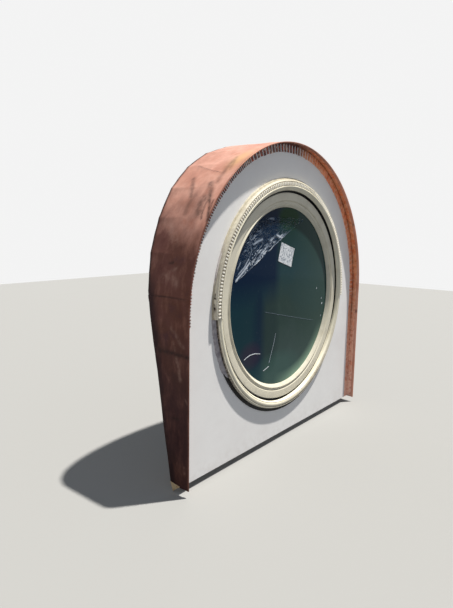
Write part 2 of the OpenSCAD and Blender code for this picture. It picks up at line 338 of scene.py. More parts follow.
pale_rubs = [
    ([(0.300, 0.030), (0.330, 0.036), (0.356, 0.044)], 0.006),
    ([(0.388, 0.020), (0.400, 0.034), (0.418, 0.046), (0.432, 0.060)], 0.005),
    ([(0.372, 0.048), (0.395, 0.054)], 0.003),
    ([(0.548, 0.052), (0.566, 0.072), (0.560, 0.100)], 0.010),
    ([(0.588, 0.060), (0.570, 0.084)], 0.005),
    ([(0.047, 0.014), (0.062, 0.016)], 0.003),
    ([(0.240, 0.006), (0.250, 0.012)], 0.003),
    ([(0.660, 0.085), (0.700, 0.120), (0.716, 0.150)], 0.012),
]


def copper_marks(places):
    """Tarnish and soot, both partly painted shade, dark streaks, pale rubs and a painted glint for each
    place on the sheet.
    """
    marks = {"tarnish_and_shade": [], "deep": [], "streak_and_shade": [], "rub": [], "painted_glint": []}
    for along, depth, back in places:
        # A golden patch near the lip on the right is a painted highlight, a glint of sun.
        marks["painted_glint"].append(bell(along, 0.965, 0.050) * bell(depth, 0.030, 0.022))
        front = fall(depth, 0.002, 0.004)
        over_crown = rise(along, crown - 0.14, crown + 0.08) * fall(along, crown + 0.2, crown + 0.4)
        # The lip's tarnish is set along its length, darker on the left leg and lighter past the crown:
        # partly wear, partly painted shade and highlight.
        lip_wear_and_shade = 0.52 + 0.05 * over_crown - 0.50 * rise(along, crown + 0.05, crown + 0.35)
        lip_wear_and_shade += 0.40 * fall(along, leg + 0.25, leg + 0.60)
        along = min(along, outline_length - along)
        waver = 0.02 * patchy(along * 20, depth * 30, 7)
        # The brown border slants across the cheek like a shadow edge, so this brown is partly painted
        # shade.
        border = 0.645 + 0.45 * depth + waver
        brown = 1 - 0.50 * rise(along, border - 0.05, border + 0.05)
        bloom = 0.800 - 0.09 * fall(depth, 0.02, 0.06) + 2 * waver
        brown -= 0.40 * rise(along, bloom - 0.05, bloom + 0.05)
        marks["tarnish_and_shade"].append(brown * (1 - front) + lip_wear_and_shade * front)
        # Soot low on the cheeks, partly painted shade, and a darkening near the back edge that is a
        # painted shadow where the sheet meets the roof.
        deep = 0.85 * fall(along, 0.18, 0.52 + 4 * waver) * (0.65 + 0.35 * rise(along, 0.03, 0.09))
        deep = max(deep, fall(along, 0.50, 0.60) * rise(depth, back - 0.045, back - 0.008))
        marks["deep"].append(deep * (1 - front))
        place = (along, depth)
        streak_and_shade = max(power * near_line(place, line, width) for line, width, power in streaks_and_crease_shade)
        # A dark line along the back edge is a painted shadow where the sheet meets the roof.
        marks["streak_and_shade"].append(max(streak_and_shade, 1.1 * rise(depth, back - 0.010, back - 0.003)))
        marks["rub"].append(max(near_line(place, *line) for line in pale_rubs))
    return marks


def stored(tree, mark):
    """Value stored on the mesh under a mark's name."""
    return new_node(tree, "Attribute", {}, attribute_name=mark).outputs["Fac"]


def on_object(tree, stretch=(1, 1, 1)):
    """Place on the object in metres, multiplied by stretch."""
    place = tree.nodes.new("ShaderNodeTexCoord").outputs["Object"]
    return new_node(tree, "Mapping", {"Vector": place, "Scale": stretch}).outputs["Vector"]


def cloud(tree, scale, detail=6.0, stretch=(1, 1, 1), roughness=0.6, place=None):
    """Noise from 0 to 1 over the object, or over another place."""
    place = place or on_object(tree, stretch)
    field = {"Scale": scale, "Detail": detail, "Roughness": roughness, "Vector": place}
    return new_node(tree, "TexNoise", field).outputs["Fac"]


def ramp(value, *stops):
    """Colour from a ramp of (position, hex colour) stops."""
    band = new_node(value.id_data, "ValToRGB", {"Fac": value})
    elements = band.color_ramp.elements
    while len(elements) < len(stops):
        elements.new(0.5)
    for element, (position, colour) in zip(elements, stops):
        element.position = position
        element.color = tint(colour)
    return band.outputs["Color"]


def remap(value, low, high, to_low=0.0, to_high=1.0):
    """Value between low and high taken to to_low and to_high."""
    span = {"Value": value, "From Min": low, "From Max": high, "To Min": to_low, "To Max": to_high}
    return new_node(value.id_data, "MapRange", span).outputs["Result"]


def times(first, second):
    """Product of two values."""
    return sums("MULTIPLY", first, second)


def plus(first, second):
    """Sum of two values."""
    return sums("ADD", first, second)


def surface(shader, colour, height, strength, distance):
    """Colour of a material, and its relief from a height value."""
    relief = {"Height": height, "Strength": strength, "Distance": distance}
    feed(shader.inputs["Base Color"], colour)
    feed(shader.inputs["Normal"], new_node(shader.id_data, "Bump", relief).outputs["Normal"])


copper, tree, shader = new_material("copper_sheet", 0.5, 0.58, 0.25)
mottle = cloud(tree, 11, 8)
brushed = cloud(tree, 34, 8, (1, 1.25, 0.5), 0.66)
fresh = ramp(mottle, (0.30, "#c58873"), (0.46, "#cf9783"), (0.60, "#d9a693"), (0.75, "#c3856f"))
brown = ramp(mottle, (0.28, "#4f3033"), (0.44, "#5f3b31"), (0.58, "#68423b"), (0.74, "#55302c"))
# The sooty colour is soot and painted shade together.
sooty_shade = ramp(mottle, (0.30, "#1d1115"), (0.60, "#2e1b1e"), (0.80, "#26161a"))
# The stored tarnish share is real tarnish and painted shade together.
share = remap(plus(stored(tree, "tarnish_and_shade"), remap(brushed, 0.3, 0.7, -0.14, 0.14)), 0.0, 1.0)
colour = mix(share, fresh, brown)
colour = mix(times(stored(tree, "deep"), remap(brushed, 0.25, 0.6, 0.6, 1.0)), colour, sooty_shade)
ragged = remap(cloud(tree, 70, 6), 0.36, 0.62)
# The rubs are marks on the copper, the streaks are marks and painted crease shade, and the golden patch is
# a painted highlight.
for mark, patchwork, shade in (
        ("rub", times(ragged, 0.36), "#a8887b"),
        ("painted_glint", remap(brushed, 0.3, 0.65, 0.5, 0.9), "#dbb07a"),
        ("streak_and_shade", remap(ragged, 0.0, 1.0, 0.5, 1.0), "#2e1f1d")):
    colour = mix(times(stored(tree, mark), patchwork), colour, shade)
worn = plus(remap(share, 0.0, 1.0, 0.52, 0.62), remap(mottle, 0.3, 0.7, -0.05, 0.06))
feed(shader.inputs["Roughness"], worn)
surface(shader, colour, plus(cloud(tree, 150, 4), brushed), 0.22, 0.0015)

for name, node, start, end in (
        ("barrel_sheet", "hood_barrel", seam_along, outline_length - seam_along),
        ("left_cheek_sheet", "cheek_left", 0.0, seam_along),
        ("right_cheek_sheet", "cheek_right", outline_length - seam_along, outline_length)):
    points, faces, places = copper_sheet(start, end)
    piece_mesh(name, points, faces, copper, node, copper_marks(places))

# Flat seams
# The cheek and the barrel are hooked together in a flat lock seam on each side.
# The upper edge is dressed down sharply and has a dark line painted along it, the lower one is soft.
seam_half = 0.009
seam_profile = [(-1.0, -0.0003), (-1.0, 0.0001), (-0.75, 0.0006), (-0.35, 0.0011), (0.3, 0.0014),
                (0.84, 0.0015), (0.95, 0.0013), (1.0, 0.0008), (1.0, -0.0003)]
seam_front = 0.0012
seam_rows = 40
for name, node, middle, side in (("left_seam", "seam_left", seam_along, 1),
                                 ("right_seam", "seam_right", outline_length - seam_along, -1)):
    points, places = [], []
    for row in range(seam_rows + 1):
        for across, stand in seam_profile:
            along = middle + side * across * seam_half
            x, z, over, out = outline(along)
            back = z * roof_slope - lip_face
            depth = seam_front + (back - seam_front) * row / seam_rows
            lift = stand * rise(depth, 0.0, 0.004) + dent(along, depth)
            points.append((x + over * lift, lip_face + depth, z + out * lift))
            places.append((along, depth, back))
    faces = swept_faces(seam_rows + 1, len(seam_profile))
    piece_mesh(name, points, faces, copper, node, copper_marks(places))

# Kerfed drip edge
# A folded copper strip lines the lip, and its flange lies on the panel under it.
# The flange was snipped into tongues to take the curve, and they sit unevenly.


def axes(tree):
    """Outputs X, Y and Z of the place on the object, in metres."""
    return new_node(tree, "SeparateXYZ", {0: on_object(tree)}).outputs


drip, tree, shader = new_material("drip_copper", 0.38, 0.35, 0.25)
blotch = cloud(tree, 26, 7)
flecks = cloud(tree, 90, 5)
orange = ramp(blotch, (0.34, "#ff9c6c"), (0.5, "#ffc096"), (0.64, "#ffb082"))
salmon = ramp(blotch, (0.34, "#fabca2"), (0.5, "#ffdccb"), (0.64, "#ffcfbb"))
bright = mix(remap(axes(tree)["Z"], spring - 0.45, spring + 0.10), salmon, orange)
dull = ramp(blotch, (0.35, "#33191a"), (0.6, "#502a27"), (0.75, "#402021"))
# The brown over the top and left of the drip edge is partly painted shade, and the flange is painted a
# little darker as shade under the upstand.
colour = mix(stored(tree, "tarnish_and_shade"), bright, dull)
colour = mix(remap(flecks, 0.53, 0.60, 0.0, 0.5), colour, "#c4552c")
colour = mix(remap(flecks, 0.38, 0.46, 0.45, 0.0), colour, "#ffd9bd")
broken = remap(cloud(tree, 60, 3), 0.30, 0.60, 0.45, 0.9)
# The dark line along the crease between flange and upstand, and at the tongue roots, is painted shade.
colour = mix(times(stored(tree, "crease"), broken), colour, "#4a1d13")
surface(shader, colour, flecks, 0.3, 0.0012)

flange_width = 0.028
flange_front = 0.027
flange_back = flange_front + sheet
kerf_root = 0.004
kerf_leg = 0.026
narrow_kerf = 0.0038
wide_kerf = 0.0056
tongue_thickness = 0.0008
close_end = leg + 0.35 * half_round
random.seed(11)


def drip_tarnish_and_shade(along, depth):
    """Share of brown on the drip edge, partly tarnish and partly painted shade: dark over the top and
    left, darker on the flange in the upstand's shade, bright only on the right-hand side.
    """
    shade = fall(along, leg + 0.49 * half_round, leg + 0.61 * half_round)
    shade -= 0.7 * fall(along, close_end - 0.25, close_end) * fall(depth, 0.018, 0.025)
    shade += 0.08 * rise(depth, 0.024, flange_front) + 0.15 * patchy(along * 22, depth * 60, 3.3)
    return min(1, max(0, shade))


def drip_strip(start, end, flange, pace=0.006):
    """Folded strip: the upstand inside the lip and a flange of this width."""
    section = [(sheet, 0.001), (sheet, flange_back), (sheet + flange, flange_back),
               (sheet + flange, flange_front), (sheet + 0.8 * min(flange, 0.006), flange_front),
               (0.0029, flange_front), (0.0022, 0.0267), (0.002, 0.026), (0.002, 0.022),
               (0.002, 0.001)]
    # How much painted crease shade each point of the section takes.
    folded = [0, 0, 0, 0.1, 0.4, 1, 1, 0.9, 0.4, 0]
    points, marks = [], {"tarnish_and_shade": [], "crease": []}
    steps = math.ceil((end - start) / pace)
    for step in range(steps + 1):
        along = start + (end - start) * step / steps
        x, z, over, out = outline(along)
        kept = 1 - 0.75 * rise(along, outline_length - leg, outline_length - 0.15)
        for (inset, depth), crease_mark in zip(section, folded):
            points.append((x - over * inset, lip_face + depth, z - out * inset))
            marks["tarnish_and_shade"].append(drip_tarnish_and_shade(along, depth))
            marks["crease"].append(crease_mark * kept)
    return points, swept_faces(steps + 1, len(section)), marks


def shifted(faces, first):
    """The same faces for points that are numbered from first on."""
    return [tuple(first + i for i in face) for face in faces]


def tongue(along, width, points, faces, marks):
    """One snipped tongue of the flange, slightly bent, skewed and twisted."""
    x, z, over, out = outline(along)
    lift = random.uniform(0.0, 0.0008)
    skew = random.uniform(-0.0006, 0.0006)
    twist = random.uniform(-0.0005, 0.0005)
    length = flange_width - kerf_root + random.uniform(-0.0012, 0.0008)
    length += 0.006 * fall(along, leg + 0.15 * half_round, leg + 0.4 * half_round)
    faces.extend(shifted(swept_faces(4, 4), len(points)))
    for share in (-0.06, 0.35, 0.7, 1.0):
        free = max(0, share)
        inset = sheet + kerf_root + share * length
        for edge, top in ((-1, 0), (1, 0), (1, 1), (-1, 1)):
            slide = edge * (1 - 0.06 * free) * width / 2 + skew * share
            raised = (lift + abs(twist) - edge * twist) * free ** 2
            depth = flange_back - raised - top * tongue_thickness
            points.append((x - over * inset + out * slide, lip_face + depth,
                           z - out * inset - over * slide))
            marks["tarnish_and_shade"].append(drip_tarnish_and_shade(along, depth + 0.01 * share))
            marks["crease"].append(0.3 if share < 0 else 0.0)


arch_start, arch_end = leg - kerf_leg, outline_length - leg + kerf_leg
points, faces, marks = drip_strip(arch_start, arch_end, kerf_root)
for count, start, end, kerf in (
        (3, arch_start, leg, narrow_kerf), (63, leg, close_end, narrow_kerf),
        (60, close_end, outline_length - leg, wide_kerf), (2, outline_length - leg, arch_end, wide_kerf)):
    pitch = (end - start) / count
    for tooth in range(count):
        along = start + (tooth + 0.5) * pitch
        kerf_here = kerf - 0.0046 * rise(along, leg + 0.54 * half_round, leg + 0.62 * half_round)
        width = pitch * (1 - 0.016 / half_width) - kerf_here + random.uniform(-0.0008, 0.0004)
        tongue(along, width, points, faces, marks)
piece_mesh("kerfed_drip_edge", points, faces, drip, "drip_edge_arch", marks)
for name, node, start, end in (
        ("left_drip_edge", "drip_edge_left", panel_foot - foot, arch_start),
        ("right_drip_edge", "drip_edge_right", arch_end, outline_length - panel_foot + foot)):
    points, faces, marks = drip_strip(start, end, flange_width - sheet, 0.02)
    piece_mesh(name, points, faces, drip, node, marks)

# Corner tabs
# The foot of each cheek is nicked and a triangle of bright copper is left hanging.
# It was bent over the roof covering and has kept a clean face; its pale colour is partly painted light.
tab_copper, tree, shader = new_material("tab_copper", 0.4, 0.45)
scuffs = cloud(tree, 90, 6)
surface(shader, ramp(scuffs, (0.35, "#d3a874"), (0.5, "#f3d9ae"), (0.7, "#e8c592")), scuffs, 0.2, 0.001)
tab_steps = 8
tab_thickness = 0.0006


def thick(front, layer):
    """Faces of a thin slab: its front, its back in the next layer of points, and its edge."""
    sides = {side for face in front for side in zip(face, face[1:] + face[:1])}
    edge = [(q, p, p + layer, q + layer) for p, q in sorted(sides) if (q, p) not in sides]
    return front + shifted([(face[0], *face[:0:-1]) for face in front], layer) + edge


front = []
row_start = 0
for length in range(tab_steps, 0, -1):
    for a in range(row_start, row_start + length):
        front.append((a, a + 1, a + length + 1))
        if a < row_start + length - 1:
            front.append((a + 1, a + length + 2, a + length + 1))
    row_start += length + 1
for name in ("corner_tab_left", "corner_tab_right"):
    low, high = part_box(name)
    outside = -1 if low[0] < 0 else 1
    face = (low if outside < 0 else high)[0]
    corners = [Vector((0, low[1], high[2] - 0.004)), Vector((0, high[1], high[2])),
               Vector((0, high[1] - 0.0095, low[2]))]
    points = []
    for layer in (0, 1):
        for i in range(tab_steps + 1):
            for j in range(tab_steps + 1 - i):
                a, b = i / tab_steps, j / tab_steps
                spot = corners[0] * (1 - a - b) + corners[1] * a + corners[2] * b
                inward = (layer * tab_thickness + 0.0002 + 0.0005 * b * b) * outside
                points.append((face - inward, spot.y, spot.z))
    piece_mesh(name.replace("corner_tab", "bent_tab"), points, thick(front, len(points) // 2), tab_copper,
               name)

# Front panel
# Painted board with a half-round top, cut out for the round window.
# The paint is even and rolled, with faint grime near the foot.
panel_paint, tree, shader = new_material("panel_paint", 0.48)
grime = cloud(tree, 6, 7)
colour = ramp(grime, (0.30, "#f3f1ef"), (0.55, "#faf9f7"), (0.80, "#f5f4f2"))
splashed = remap(axes(tree)["Z"], panel_foot, panel_foot + 0.06, 0.14, 0.0)
colour = mix(times(splashed, remap(cloud(tree, 45, 6), 0.42, 0.62)), colour, "#b3a79a")
surface(shader, colour, plus(cloud(tree, 300, 3), times(grime, 1.5)), 0.08, 0.0012)


def dress(material, *names):
    """Give a material to parts that keep their shape from the model."""
    for name in names:
        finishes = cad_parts[name].data.materials
        finishes.clear()
        finishes.append(material)


dress(panel_paint, "front_panel")

# Casing
# A cream painted ring in two halves, planted over the joint of window and panel.
# The upper half has a crest and a channel, the lower a ledge, both softened by paint.
ring_height = (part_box("sash_ring")[0][2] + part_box("sash_ring")[1][2]) / 2


def eased(profile, size, parts=3):
    """Profile with each of its corners rounded off by this size."""
    smooth = []
    for before, corner, after in zip(profile[-1:] + profile[:-1], profile, profile[1:] + profile[:1]):
        a, b, c = Vector(before), Vector(corner), Vector(after)
        start = b + (a - b).normalized() * min(size, (a - b).length * 0.4)
        end = b + (c - b).normalized() * min(size, (c - b).length * 0.4)
        for part in range(parts + 1):
            t = part / parts
            smooth.append(tuple(start * (1 - t) ** 2 + 2 * t * (1 - t) * b + end * t * t))
    return smooth


def on_ring(angle, radius, height, slide=0):
    """Point at a radius and a height over the panel in mm, slid sideways from its angle."""
    over, out = math.cos(angle), math.sin(angle)
    return ((radius * over - slide * out) / 1000, panel_face - height / 1000,
            ring_height + (radius * out + slide * over) / 1000)


def turned(name, profile, material, node=None, start=0, sweep=360, steps=540, mark=None, wander=None):
    """Ring turned round the window from points of radius and height over the panel, in mm.

    Mark and wander take an angle in degrees, a radius and a height.
    """
    whole = sweep == 360
    points, marks = [], []
    loops = steps if whole else steps + 1
    for step in range(loops):
        degrees = start + sweep * step / steps
        for spot in profile:
            radius, height = wander(degrees, *spot) if wander else spot
            points.append(on_ring(math.radians(degrees), radius, height))
            marks.append(mark(degrees, *spot) if mark else 0.0)
    faces = swept_faces(loops, len(profile), whole)
    piece_mesh(name, points, faces, material, node, {"dirt_and_shading": marks})


def cream_paint(name, clean, worn, dirt_and_shading):
    """Brushed cream paint with worn places and stored dirt, which also carries painted shade."""
    material, tree, shader = new_material(name, 0.5, specular=0.4)
    wear = cloud(tree, 16, 7)
    specks = cloud(tree, 120, 5)
    soil_and_shade = stored(tree, "dirt_and_shading")
    colour = ramp(wear, (0.34, worn), (0.5, clean), (0.7, clean))
    colour = mix(times(soil_and_shade, remap(specks, 0.30, 0.60, 0.45, 1.0)), colour, dirt_and_shading)
    # Marks above 1 go nearly black: deep knocks and cracks, and the painted shadow lines of gaps.
    colour = mix(remap(soil_and_shade, 1.0, 1.6), colour, "#15130f")
    colour = mix(remap(specks, 0.66, 0.74, 0.0, 0.5), colour, worn)
    surface(shader, colour, plus(specks, wear), 0.12, 0.001)
    return material


cream = cream_paint("casing_cream", "#f0ead4", "#e3dbc3", "#85796a")
joint_angle = 4
upper_sweep = 180 + 2 * joint_angle
lower_sweep = 360 - upper_sweep
degree_length = 6.5
upper_profile = eased([
    (344, 3), (377, 3), (377, 6.3), (377, 9.5), (375.5, 13), (374, 14.4), (372.5, 15),
    (371, 14.4), (371, 12.5), (358.5, 12.5), (358.5, 16), (356.2, 17), (354, 16.5), (344, 7),
], 0.8)
lower_profile = eased([
    (344, 3), (369, 3), (369, 6.5), (367, 9.5), (349.5, 9.5), (348.5, 12.5), (344, 7),
], 0.7)
knocks = [[(degree_length * angle, height) for angle, height in knock] for knock in (
    [(173.2, 6.5), (175.1, 6.5)], [(175.1, 3), (175.1, 9)], [(177.6, 4), (177.8, 7)],
    [(178.9, 5), (179.2, 8)])]


def upper_dirt_and_shade(angle, radius, height):
    """Street dirt on the outer wall, darker over its sunlit top as painted shade; a line beside the crest,
    partly dirt and partly painted shade of the gap there; knocks near the left joint.
    """
    settled_dirt_and_shade = 0.5 * rise(radius, 370.4, 371) * rise(angle, 70, 95) * fall(angle, 158, 172)
    beside_crest = bell(radius, 358.4, 0.5) * rise(height, 13, 15.5)
    line = 0.9 * rise(angle, 152, 160) + 1.4 * rise(angle, 89, 91) * fall(angle, 99, 101)
    side = 0.3 * rise(angle, 154, 170) * (1 - 0.4 * rise(angle, 170, 174))
    side += 0.8 * rise(angle, 177, 180) * fall(height, 8, 14)
    blots = 0.7 + patchy(angle * 0.5, radius * 0.2, 2)
    worn = rise(radius, 368, 374) * side * blots + settled_dirt_and_shade * (0.7 + 0.3 * blots) + beside_crest * line
    knocked = max(near_line((degree_length * angle, height), knock, 1.6) for knock in knocks)
    return worn + 1.7 * knocked * rise(radius, 372, 376)


def lower_dirt_and_shadow(angle, radius, height):
    """Grey dirt on the outer edge, thickest just below the left-hand joint, and a broken dark line at its
    foot that is a painted shadow of the gap.
    """
    left = fall(angle, 200, 245)
    blots = max(0, 0.55 + patchy(angle * 0.8, radius * 0.3, 5))
    gap_shadow = rise(radius, 366.5, 367.5) * left * rise(patchy(angle * 1.1, 0, 8), -0.7, 0.1)
    gap_shadow *= 0.85 + 0.5 * rise(height, 3.5, 5)
    return rise(radius, 362, 368) * (0.12 + 0.26 * left) * blots + gap_shadow


turned("upper_casing_ring", upper_profile, cream, "casing_upper", -joint_angle,
       upper_sweep, 380, upper_dirt_and_shade)
turned("lower_casing_ring", lower_profile, cream, "casing_lower", 180 + joint_angle,
       lower_sweep, 340, lower_dirt_and_shadow)

# Toothed nosing
# A pressed strip with a row of small blocks, glued into the channel of the upper casing.
# The blocks are rounded by paint, and the slots between them are darker, partly dirt and partly painted
# shade.
tooth_count = 125
tooth_pitch = math.radians(upper_sweep) / tooth_count
tooth_gap = 4.4
tooth_width = 364.5 * tooth_pitch - tooth_gap
inner_side, outer_side = 359.6, 369.9
strip_profile = eased([(358.8, 12.5), (370.7, 12.5), (370.7, 13.5), (358.8, 13.5)], 0.3)


def slot_dirt_and_shade(angle, radius=0, height=0):
    """Darkening in the slots, partly dirt and partly painted shade: thick at the left, little where the
    sun and rain reach.
    """
    return 0.35 + 0.5 * rise(angle, 118, 150) - 0.2 * rise(angle, 162, 172) + 0.3 * fall(angle, 20, 50)


turned("nosing_strip", strip_profile, cream, "toothed_nosing", -joint_angle,
       upper_sweep, 380, slot_dirt_and_shade)
tooth_paint = cream_paint("tooth_cream", "#fdf8ea", "#f4eddb", "#7f715c")
points, faces, marks = [], [], []
random.seed(5)
for tooth in range(tooth_count):
    angle = (tooth + 0.5) * tooth_pitch - math.radians(joint_angle)
    degrees = math.degrees(angle)
    wide = tooth_width + random.uniform(-0.35, 0.25) + 1.2 * fall(degrees, 85, 125)
    tall = random.uniform(-0.2, 0.0)
    faces.extend(shifted(swept_faces(4, 4), len(points)))
    for height, margin in ((13.4, 0.0), (15.7 + tall, 0.0), (16.25 + tall, 0.35), (16.5 + tall, 1.1)):
        slide = wide / 2 - margin
        for radius, side in ((inner_side + margin, -1), (outer_side - margin, -1),
                             (outer_side - margin, 1), (inner_side + margin, 1)):
            points.append(on_ring(angle, radius, height, side * slide))
            marks.append(slot_dirt_and_shade(degrees) if height < 14 else 0.0)
piece_mesh("nosing_teeth", points, faces, tooth_paint, "toothed_nosing", {"dirt_and_shading": marks})

# Double bead
# A wide and a thin half-round bead side by side on the ledge of the lower casing.
# Paint fills the dip between them, and a thin dark line there is painted shade.
bead_foot = 10.5
bead_profile = [(367, 9.5), (349.8, 9.5)]
for middle, half_wide, tall, pace in ((356.05, 6.25, 3.5, 12), (365, 2, 2, 20)):
    bead_profile += [(middle + half_wide * math.cos(math.radians(a)),
                      bead_foot + tall * math.sin(math.radians(a))) for a in range(180, -1, -pace)]


def bead_dirt_and_shade(angle, radius, height):
    """Painted shade in the dip between the beads, along the outer foot and in a line on the wide bead, and
    low on the right where the sun falls full on the beads.
    """
    dip = bell(radius, 362.7, 0.7) * fall(height, 10.9, 12.4)
    line = 0.55 * bell(radius, 361.0, 1.1) * rise(angle, 262, 285)
    return 0.7 * dip + 0.5 * rise(radius, 366.2, 367) + line + 0.65 * bell(angle, 300, 36)


turned("double_bead_ring", bead_profile, cream, "double_bead", 180 + joint_angle,
       lower_sweep, 340, bead_dirt_and_shade)

# Casing seal and sealant
# A black rubber ring beds the casing on the panel and shows below the narrower lower half.
# Beige sealant runs round the upper half, grey sealant is smeared under the left joint.
rubber, tree, shader = new_material("black_rubber", 0.6, specular=0.2)
dust = cloud(tree, 45, 6)
surface(shader, ramp(dust, (0.40, "#070708"), (0.62, "#121213"), (0.80, "#282726")), dust, 0.15, 0.001)
turned("casing_seal_ring", eased([(356, 0), (379.5, 0), (379.5, 2.4), (378.6, 3), (356, 3)], 0.5),
       rubber, "casing_seal")


def sealant(name, low, high, stain):
    """Matt gunned sealant, slightly lumpy and stained, gone a paler grey where it is marked, partly
    painted light.
    """
    material, tree, shader = new_material(name, 0.7)
    lumps = cloud(tree, 60, 6)
    colour = mix(stored(tree, "dirt_and_shading"), ramp(lumps, (0.35, low), (0.62, high)), "#d2cbc9")
    colour = mix(remap(cloud(tree, 25, 5), 0.58, 0.70, 0.0, 0.6), colour, stain)
    surface(shader, colour, lumps, 0.4, 0.0015)
    return material


def lumpy(lowest, low_angle, high_angle, taper=4, thinned=0.0):
    """Sealant edge that wanders, fades out at its ends and is thinner towards the left."""
    def wander(angle, radius, height):
        fade = rise(angle, low_angle, low_angle + 4) * fall(angle, high_angle - taper, high_angle)
        swell = 1 + 0.16 * patchy(angle * 0.35, radius * 0.1, 9) + 0.10 * patchy(angle * 1.6, 0, 4)
        share = fade * swell * (1 - thinned * rise(angle, 105, 160))
        return lowest + (radius - lowest) * share, height * min(1.15, 0.25 + 0.75 * share)
    return wander


beige_sealant = sealant("beige_sealant", "#ada58f", "#cbc2aa", "#978c72")
grey_sealant = sealant("grey_sealant", "#918b91", "#c9c5c6", "#6b656a")
# At the upper left the upper sealant is marked paler, partly painted light where it lies in shade.
turned("upper_sealant", [(376.6, 0), (383.2, 0), (382.6, 2.2), (381.2, 3.6), (378.8, 4.6), (376.6, 5.6)],
       beige_sealant, None, -4, 189, 420,
       lambda angle, radius, height: 0.9 * rise(angle, 148, 157) * fall(angle, 165, 172),
       lumpy(376.6, -9, 190, thinned=0.36))
turned("left_sealant", [(368.6, 2.8), (382.5, 0), (382, 1.0), (380, 3.4), (376, 4.3), (372, 4.6),
                        (369.4, 4.9), (368.6, 4.9)],
       grey_sealant, None, 184, 36, 130, None, lumpy(368.6, 180, 221, 14))
turned("right_sealant", [(368.6, 2.8), (381.5, 0), (381, 0.5), (379.5, 3.2), (374, 3.8), (368.6, 4.4)],
       grey_sealant, None, 284, 72, 220, None, lumpy(368.6, 282, 360))

# Jamb and sash
# The jamb is a plain round tube; the sash inside it is a flat ring with eased edges.
# Both have the casing's cream paint, and a black rubber seal fills the gap between them.
turned("jamb_ring", eased([(344, -46), (356, -46), (356, 3), (344, 3)], 0.8), cream,
       "window_jamb")
sash_paint = cream_paint("sash_paint", "#e3ddc9", "#d6cfbb", "#8d8672")
# The lower part of the sash is marked darker: painted shade where the sun falls full on it.
turned("sash_ring_piece", eased([
    (311, -34), (338, -34), (338, 0), (337.4, 1.3), (336, 2), (314, 1), (311, -2),
], 0.8), sash_paint, "sash_ring",
       mark=lambda angle, radius, height: 0.3 * bell(angle, 270, 50))


def flap_height(angle, radius, height):
    """The seal's flap sits lower on the right, where the line of shadow gets thin."""
    angle += 360 if angle < 90 else 0
    low = rise(angle, 250, 285) * (1 - 0.62 * rise(angle, 330, 355) - 0.38 * rise(angle, 375, 405))
    return radius, height - 8 * low * rise(height, -4, 0)


# The seal's black flap up the jamb's inner wall stands in for the shade there: painted shade.
turned("sash_seal_and_shade_ring", eased([
    (338, -34), (344, -34), (344, 7), (342.5, 7), (342.5, -4), (338, -4),
], 0.5), rubber, "sash_seal", wander=flap_height)

# Glazing bead
# A snapped-in bead holds the glass: a shallow groove, a rounded rim, a slope to the pane.
# It is the same moulding all the way round, so it catches the sun at the bottom.


def bead_dust_and_shade(angle, radius, height):
    """Dust in the groove; on the rim and slope at the bottom, dust and painted shade where the sun catches
    them.
    """
    return 0.1 * bell(radius, 306, 1.6) + 0.42 * bell(angle, 283, 45) * fall(radius, 303, 306)


turned("glazing_bead_ring", eased([
    (292, -10), (311, -10), (311, -2.6), (305, -1), (303.5, 1.3), (302, 1.5), (300, 0), (292.3, -8.4),
], 0.7), sash_paint, "glazing_bead", mark=bead_dust_and_shade)
dress(sash_paint, "inner_stop")
dress(rubber, "glazing_gasket")

# Sealed glass
# Two panes with a metal spacer between them; the roof space behind is dark.
# The outer pane is faintly wavy and dusty; painted reflections make it bluer on the left and greener on
# the right.
glass, tree, shader = new_material("dark_glass", 0.04, specular=0.08)
shader.inputs["IOR"].default_value = 1.3
shader.inputs["Transmission Weight"].default_value = 0.05
pane = axes(tree)


def soft_spot(x, z, half_wide, half_tall, power, core=0.2):
    """Power at a place on the pane, fading from its core to 0 at its half width and height."""
    away = []
    for axis, middle, size in (("X", x, half_wide), ("Z", z + panel_foot, half_tall)):
        step = times(sums("SUBTRACT", pane[axis], middle), 1 / size)
        away.append(times(step, step))
    return remap(plus(*away), core, 1.0, power, 0.0)


def beyond(axis, place, blur):
    """0 before a place along an axis and 1 after it, or 1 and 0 where the blur is negative."""
    return remap(pane[axis], place - blur, place + blur)


def round_place(tree, middle):
    """Radius, distance round the arch and depth, for grain that follows a curve."""
    x, y, z = axes(tree)
    z = sums("SUBTRACT", z, middle)
    radius = sums("SQRT", plus(times(x, x), times(z, z)))
    angle = times(sums("ARCTAN2", z, x), 0.1)
    return new_node(tree, "CombineXYZ", {0: radius, 1: angle, 2: y}).outputs[0], radius, x


# Painted reflections: the pane runs from a paler grey-green low to a deep green high.
height = plus(remap(pane["Z"], panel_foot + 0.17, panel_foot + 0.76),
              remap(cloud(tree, 3.2, 3), 0.35, 0.65, -0.12, 0.12))
colour = ramp(height, (0.10, "#465856"), (0.38, "#304541"), (0.62, "#234349"), (0.9, "#193b38"))
navy = times(beyond("X", -0.042, -0.02), beyond("Z", panel_foot + 0.487, 0.045))
band = times(beyond("X", -0.118, -0.016), beyond("X", -0.165, 0.02))
rim = remap(round_place(tree, ring_height)[1], 0.252, 0.288)
rim = times(times(rim, beyond("Z", panel_foot + 0.29, -0.07)), beyond("X", 0.01, 0.06))
